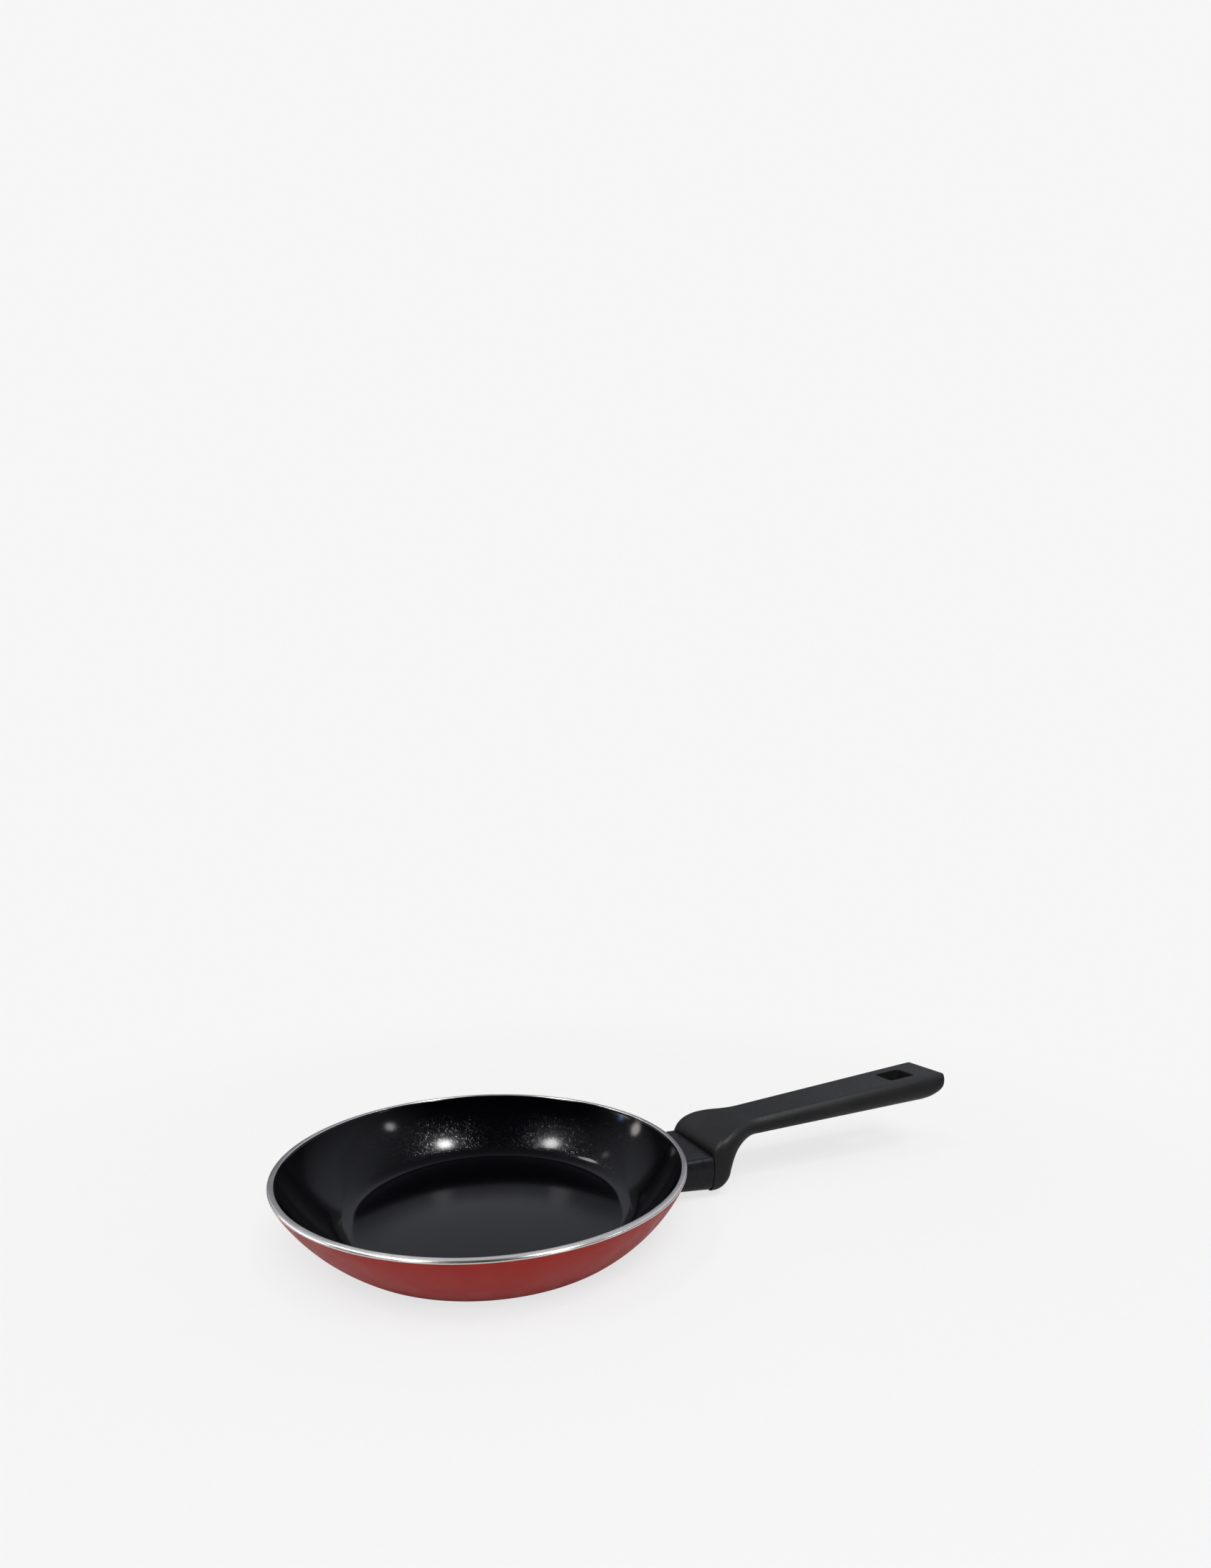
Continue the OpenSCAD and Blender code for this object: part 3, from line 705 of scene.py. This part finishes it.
def nonstick_black():
    """A black coating with a slight orange peel and fine metal flecks, each at its own angle.
    The flecks are rare on the floor, many on the lower wall and fewer towards the rim."""
    # Heights in metres where the wall starts and where the flecks end, and how rare they are there
    floor_top, wall_from, thinning, fleckless = 0.0046, 0.0085, 0.020, 0.030
    rare_floor, rare_wall, rare_rim = 0.98, 0.42, 1.0
    fleck_r, fleck_tilt, fleck_rough = 0.33, 0.22, 0.22
    p = Paint("nonstick_black", Specular_IOR_Level=0.14)
    height = p.height()
    wall = p.ramp(height, floor_top, wall_from)
    distance, colour = p.cells(2800)
    draw = p.node("ShaderNodeTexWhiteNoise", {"Vector": colour}).outputs["Value"]
    rare = p.math("MAXIMUM", p.ramp(wall, 0, 1, rare_floor, rare_wall, smooth=False),
                  p.ramp(height, thinning, fleckless, rare_wall, rare_rim))
    fleck = p.math("MULTIPLY", p.math("LESS_THAN", distance, fleck_r), p.math("GREATER_THAN", draw, rare))
    base = p.blend((0.0004, 0.0004, 0.0009), (0.0007, 0.0007, 0.0014), p.noise(35, 3, 0.5))
    p.set("Base Color", p.blend(base, (0.024, 0.024, 0.026), fleck))
    p.set("Metallic", fleck)
    skin = p.ramp(wall, 0, 1, 0.095, 0.10, smooth=False)
    p.set("Roughness", p.math("MAXIMUM", skin, p.math("MULTIPLY", fleck, fleck_rough)))
    peel = p.math("ADD", p.noise(1150, 2, 0.55), p.math("MULTIPLY", p.noise(3600, 1, 0.5), 0.3))
    skin_normal = p.bump(peel, 0.000014, 0.6)
    tilt = p.vectors("SUBTRACT", {0: colour, 1: (0.5, 0.5, 0.5)})
    tilt = p.vectors("SCALE", {0: tilt, 3: fleck_tilt})
    lean = p.vectors("NORMALIZE", {0: p.vectors("ADD", {0: skin_normal, 1: tilt})})
    normal = p.node("ShaderNodeMix", {0: fleck, 4: skin_normal, 5: lean}, data_type="VECTOR")
    p.set("Normal", normal.outputs[1])
    return p.mat


def enamel_red():
    p = Paint("enamel_red", Specular_IOR_Level=0.12)
    cloud = p.noise(22, 3, 0.5)
    speck = p.noise(1800, 2, 0.6)
    ripple = p.math("ADD", p.noise(420, 2, 0.5), p.math("MULTIPLY", speck, 0.2))
    base = p.blend((0.248, 0.0130, 0.0095), (0.274, 0.0165, 0.0122), cloud)
    p.set("Base Color", p.blend(base, (0.300, 0.022, 0.017), p.ramp(speck, 0.55, 0.75, 0, 0.5)))
    p.set("Roughness", p.ramp(p.noise(90, 2, 0.5), 0.3, 0.7, 0.34, 0.44))
    p.set("Normal", p.bump(ripple, 0.00004, 0.25))
    return p.mat


def guard_black():
    p = Paint("guard_black", Specular_IOR_Level=0.14)
    p.set("Base Color", p.blend((0.004, 0.0042, 0.005), (0.007, 0.0072, 0.0085), p.noise(120, 3, 0.5)))
    p.set("Roughness", p.ramp(p.noise(300, 2, 0.5), 0.3, 0.7, 0.26, 0.34))
    p.set("Normal", p.bump(p.noise(1500, 2, 0.5), 0.00002, 0.25))
    return p.mat


def handle_black():
    p = Paint("handle_black", Specular_IOR_Level=0.13)
    grain = p.noise(2600, 3, 0.6)
    coarse = p.noise(900, 2, 0.5)
    base = p.blend((0.005, 0.0052, 0.0058), (0.0105, 0.0106, 0.0114), grain)
    p.set("Base Color", p.blend(base, (0.012, 0.012, 0.0127), p.ramp(p.noise(40, 3, 0.5), 0.45, 0.7, 0, 0.6)))
    p.set("Roughness", p.ramp(coarse, 0.3, 0.7, 0.42, 0.54))
    p.set("Normal", p.bump(p.math("ADD", p.math("MULTIPLY", grain, 0.7), coarse), 0.00012, 0.6))
    return p.mat


def cast_aluminium():
    p = Paint("cast_aluminium", Metallic=1.0)
    pits = p.noise(900, 4, 0.6)
    p.set("Base Color", p.blend((0.5, 0.505, 0.515), (0.62, 0.625, 0.635), p.noise(80, 3, 0.5)))
    p.set("Roughness", p.ramp(pits, 0.3, 0.7, 0.42, 0.6))
    p.set("Normal", p.bump(pits, 0.00015, 0.6))
    return p.mat


def zinc_steel():
    p = Paint("zinc_steel", Metallic=1.0)
    p.set("Base Color", p.blend((0.52, 0.53, 0.55), (0.64, 0.645, 0.65), p.noise(700, 3, 0.5)))
    p.set("Roughness", p.ramp(p.noise(1500, 2, 0.5), 0.3, 0.7, 0.24, 0.38))
    p.set("Normal", p.bump(p.noise(4000, 2, 0.5), 0.00001, 0.4))
    return p.mat


place(pan_body, "pan_body", bare_aluminium())
place(lining, "nonstick_lining", nonstick_black())
place(enamel, "outer_enamel", enamel_red())
place(guard, "flame_guard", guard_black())
place(handle, "handle", handle_black())
steel = zinc_steel()
place(screw, "handle_screw", steel)
place(washer, "lock_washer", steel)
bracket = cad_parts["handle_bracket"]
bracket_paint = cast_aluminium()
if not bracket.material_slots:
    bracket.data.materials.append(bracket_paint)
for s in bracket.material_slots:
    s.material = bracket_paint

# Stage, in metres

WHITE = 0.9216
FLOOR_REACH, FLOOR_DROP, AMBIENT = 14.0, 0.0002, 0.45
# Light on the floor next to the pan against its own glow, and the share of that glow that gives way to
# shadows, which fades out round a point under the pan
FLOOR_LEVEL, SHADOW, SHADOW_X, SHADOW_FROM, SHADOW_TO = 1.32, 0.22, 0.08, 0.12, 0.55


def stage_piece(name, verts, faces):
    """An object with a material whose nodes are still to be made."""
    mesh = bpy.data.meshes.new(name)
    mesh.from_pydata(verts, [], faces)
    obj = bpy.data.objects.new(name, mesh)
    bpy.context.collection.objects.link(obj)
    mat = bpy.data.materials.new(name)
    mat.use_nodes = True
    mat.node_tree.nodes.clear()
    mesh.materials.append(mat)
    return obj, mat


def seen_ray(tree):
    """1 for a ray from the camera, a mirror or clear matter, and 0 for one from a dull surface."""
    path = wired(tree, "ShaderNodeLightPath").outputs
    seen = maths(tree, "MAXIMUM", path["Is Camera Ray"], path["Is Glossy Ray"])
    return maths(tree, "MAXIMUM", seen, path["Is Transmission Ray"])


def mixed(tree, share, a, b):
    return wired(tree, "ShaderNodeMixShader", {0: share, 1: a.outputs[0], 2: b.outputs[0]})


corners = [(x * FLOOR_REACH, y * FLOOR_REACH, 0) for x, y in ((-1, -1), (1, -1), (1, 1), (-1, 1))]
floor, floor_mat = stage_piece("studio_floor", corners, [(0, 1, 2, 3)])
floor.location.z = -FLOOR_DROP
tree = floor_mat.node_tree
spot = wired(tree, "ShaderNodeTexCoord").outputs["Object"]
away = vector_maths(tree, "DISTANCE", {0: spot, 1: (SHADOW_X, 0, 0)}, "Value")
shadow_share = ranged(tree, away, SHADOW_FROM, SHADOW_TO, SHADOW, 0.0)
mirrored = wired(tree, "ShaderNodeLightPath").outputs["Is Glossy Ray"]
caught = WHITE / FLOOR_LEVEL
glow = wired(tree, "ShaderNodeEmission", {"Color": (WHITE, WHITE, WHITE, 1), "Strength": 1.0})
catch = wired(tree, "ShaderNodeBsdfDiffuse", {"Color": (caught, caught, caught, 1)})
shown = mixed(tree, maths(tree, "MAXIMUM", shadow_share, mirrored), glow, catch)
bounce = wired(tree, "ShaderNodeBsdfDiffuse", {"Color": (0.72, 0.72, 0.72, 1)})
surface = mixed(tree, seen_ray(tree), bounce, shown)
wired(tree, "ShaderNodeOutputMaterial", {"Surface": surface.outputs[0]})

world = bpy.data.worlds.new("studio")
bpy.context.scene.world = world
world.use_nodes = True
tree = world.node_tree
tree.nodes.clear()
backdrop = wired(tree, "ShaderNodeBackground", {"Color": (WHITE, WHITE, WHITE, 1), "Strength": 1.0})
ambient = wired(tree, "ShaderNodeBackground", {"Color": (1, 1, 1, 1), "Strength": AMBIENT})
surface = mixed(tree, seen_ray(tree), ambient, backdrop)
wired(tree, "ShaderNodeOutputWorld", {"Surface": surface.outputs[0]})
world.cycles.sampling_method = "NONE"

# A tent of graded cloth round the table, pale on the far side and dark in front, that only shows in what the
# pan mirrors. Its light is given by the sine of the elevation, and sideways by the cosine to a level
# direction.
TENT_R = 6.0
FAR_SIDE, FAR_FROM, FAR_TO = math.radians(60), -0.58, 0.36
SWEEP = [(0.0, 0.06), (0.15, 0.10), (0.30, 0.60), (0.44, 0.92), (0.49, 0.82), (0.56, 0.95), (0.68, 0.85),
         (0.80, 0.45), (1.0, 0.28)]
CLOTH_TINT, CLOTH_DARK = (0.98, 1.0, 1.12), (0.016, 0.018, 0.026, 1)
# Low down behind the pan it is dark too, up to an edge that rises from its middle, and less so at its sides
BEHIND, EDGE_LOW, EDGE_HIGH, BEHIND_LEVEL = math.radians(78), 0.418, 0.434, 0.26
RISE_FROM, RISE_TO, EDGE_RISE = 0.903, 0.858, 0.05
BESIDE_FROM, BESIDE_TO = 0.86, 0.80


def dome(radius, turns=48, rises=12):
    """Corners and faces of half a ball."""
    verts, faces = [], []
    for k in range(rises):
        u = math.pi / 2 * k / rises
        for i in range(turns):
            v = 2 * math.pi * i / turns
            verts.append((radius * math.cos(u) * math.cos(v), radius * math.cos(u) * math.sin(v),
                          radius * math.sin(u)))
    verts.append((0, 0, radius))
    for k in range(rises):
        for i in range(turns):
            a, b = k * turns + i, k * turns + (i + 1) % turns
            faces.append((a, b, b + turns, a + turns) if k < rises - 1 else (a, b, len(verts) - 1))
    return verts, faces


def toward(tree, way, azimuth):
    """The cosine between a direction and the level one at an azimuth."""
    return vector_maths(tree, "DOT_PRODUCT", {0: way, 1: (math.cos(azimuth), math.sin(azimuth), 0)}, "Value")


tent, cloth = stage_piece("studio_tent", *dome(TENT_R))
tent.visible_camera = tent.visible_diffuse = tent.visible_transmission = tent.visible_shadow = False
cloth.cycles.emission_sampling = "NONE"
tree = cloth.node_tree
way = vector_maths(tree, "NORMALIZE", {0: wired(tree, "ShaderNodeTexCoord").outputs["Object"]})
up = wired(tree, "ShaderNodeSeparateXYZ", {0: way}).outputs[2]
far = ranged(tree, toward(tree, way, FAR_SIDE), FAR_FROM, FAR_TO)
behind = toward(tree, way, BEHIND)
edge_rise = ranged(tree, behind, RISE_FROM, RISE_TO, 0.0, EDGE_RISE, smooth=False)
above_edge = ranged(tree, maths(tree, "SUBTRACT", up, edge_rise), EDGE_LOW, EDGE_HIGH, BEHIND_LEVEL, 1.0)
beside = ranged(tree, behind, BESIDE_FROM, BESIDE_TO, smooth=False)
clear = maths(tree, "MAXIMUM", above_edge, beside)
sweep = wired(tree, "ShaderNodeValToRGB", {"Fac": up})
stops = sweep.color_ramp.elements
while len(stops) < len(SWEEP):
    stops.new(1.0)
for stop, (at, level) in zip(stops, SWEEP):
    stop.position = at
    stop.color = (*(level * c for c in CLOTH_TINT), 1)
pale = vector_maths(tree, "SCALE", {0: sweep.outputs["Color"], 3: clear})
shade = wired(tree, "ShaderNodeMix", {0: far, 6: CLOTH_DARK, 7: pale}, data_type="RGBA")
cloth_light = wired(tree, "ShaderNodeEmission", {"Color": shade.outputs[2], "Strength": 1.0})
wired(tree, "ShaderNodeOutputMaterial", {"Surface": cloth_light.outputs[0]})

# Lamps, each by the point in millimetres that it faces, its azimuth and elevation from there in degrees, its
# distance and size in metres and its power
GLINT_DISTANCE = 2.0
BOWL = (20, 0, 20)
NEAR_RIM = (0, -100, 34)
RIGHT_SPOT = ((-7.5, 80.9, 11.6), -54.1, 63.0)
LEFT_SPOT = ((53.6, 60.4, 11.1), -175.5, 58.3)


def lamp(name, aim, azimuth, elevation, distance, size, power, size_y=None, glossy=True, diffuse=True):
    data = bpy.data.lights.new(name, "AREA")
    data.shape = "ELLIPSE" if size_y else "DISK"
    data.size = size
    if size_y:
        data.size_y = size_y
    data.energy = power
    obj = bpy.data.objects.new(name, data)
    bpy.context.collection.objects.link(obj)
    a, e = math.radians(azimuth), math.radians(elevation)
    way = Vector((math.cos(e) * math.cos(a), math.cos(e) * math.sin(a), math.sin(e)))
    obj.location = Vector(aim) * MM + way * distance
    obj.rotation_euler = way.to_track_quat("Z", "Y").to_euler()
    obj.visible_glossy, obj.visible_diffuse = glossy, diffuse
    return obj


def glint(name, aim, azimuth, elevation, size, power, tint=(1, 1, 1), size_y=None):
    """A small far lamp that only shows as a highlight."""
    lamp(name, aim, azimuth, elevation, GLINT_DISTANCE, size, power, size_y, diffuse=False).data.color = tint


lamp("soft_key", BOWL, -100, 58, 2.4, 1.5, 42, glossy=False)
lamp("lamp_right", *RIGHT_SPOT, GLINT_DISTANCE, 0.2, 5, glossy=False)
lamp("lamp_left", *LEFT_SPOT, GLINT_DISTANCE, 0.2, 5, glossy=False)
glint("glint_right", *RIGHT_SPOT, 0.15, 50)
glint("glint_left", *LEFT_SPOT, 0.15, 50)
glint("glint_low_right", (-37.4, 84.2, 25.6), -32.6, 35.1, 0.18, 1.6)
glint("glint_behind", (92.1, 20.5, 29.5), 142.9, 16.6, 0.22, 1.9, (1, 0.96, 0.9))
glint("glint_behind_blue", (89.2, 34.5, 32.2), 157.6, 18.6, 0.10, 0.4, (0.22, 0.55, 1))
glint("glint_behind_high", (66.5, 36.5, 6.9), 136.0, 51.0, 0.34, 5.5, (1, 0.99, 0.96))
glint("glint_behind_mid", (76.8, 28.7, 12.3), 143.0, 38.2, 0.12, 0.15)
glint("glint_front_low_right", NEAR_RIM, -70, 16.0, 0.30, 3.0, size_y=0.24)
glint("glint_front_low_left", NEAR_RIM, -144, 16.0, 0.30, 3.0, size_y=0.24)
glint("glint_low_left", NEAR_RIM, 160, 14.0, 0.9, 8.0, size_y=0.3)
glint("glint_far_left", (-20, 29.4, 4.9), 82.3, 24.0, 0.08, 0.012, size_y=0.14)
glint("glint_far_right", (39.9, 7.1, 4.8), 69.7, 25.0, 0.08, 0.014, size_y=0.14)

# Camera, solved from the photograph: focal length and principal point in its pixels, place and angles
PHOTO_W, PHOTO_H, SENSOR = 1687, 2184, 36
FOCAL, CENTRE = 934.563, (863.365, 1662.263)
EYE, YAW, PITCH, ROLL = (-69.902, -308.4, 167.74), 24.94, 26.18, 1.54
yaw, pitch, roll = (math.radians(a) for a in (YAW, PITCH, ROLL))
forward = Vector((math.cos(pitch) * math.sin(yaw), math.cos(pitch) * math.cos(yaw), -math.sin(pitch)))
level = Vector((math.cos(yaw), -math.sin(yaw), 0))
above = level.cross(forward)
right = math.cos(roll) * level + math.sin(roll) * above
top = -math.sin(roll) * level + math.cos(roll) * above
camera_data = bpy.data.cameras.new("camera")
camera = bpy.data.objects.new("camera", camera_data)
bpy.context.collection.objects.link(camera)
turn = Matrix((right, top, -forward)).transposed().to_4x4()
camera.matrix_world = Matrix.Translation(Vector(EYE) * MM) @ turn
camera_data.sensor_fit = "AUTO"
camera_data.sensor_width = SENSOR
camera_data.lens = FOCAL * SENSOR / PHOTO_H
camera_data.shift_x = (PHOTO_W / 2 - CENTRE[0]) / PHOTO_H
camera_data.shift_y = (CENTRE[1] - PHOTO_H / 2) / PHOTO_H
camera_data.clip_start = 0.01
bpy.context.scene.camera = camera

bpy.context.scene.view_settings.view_transform = "Standard"
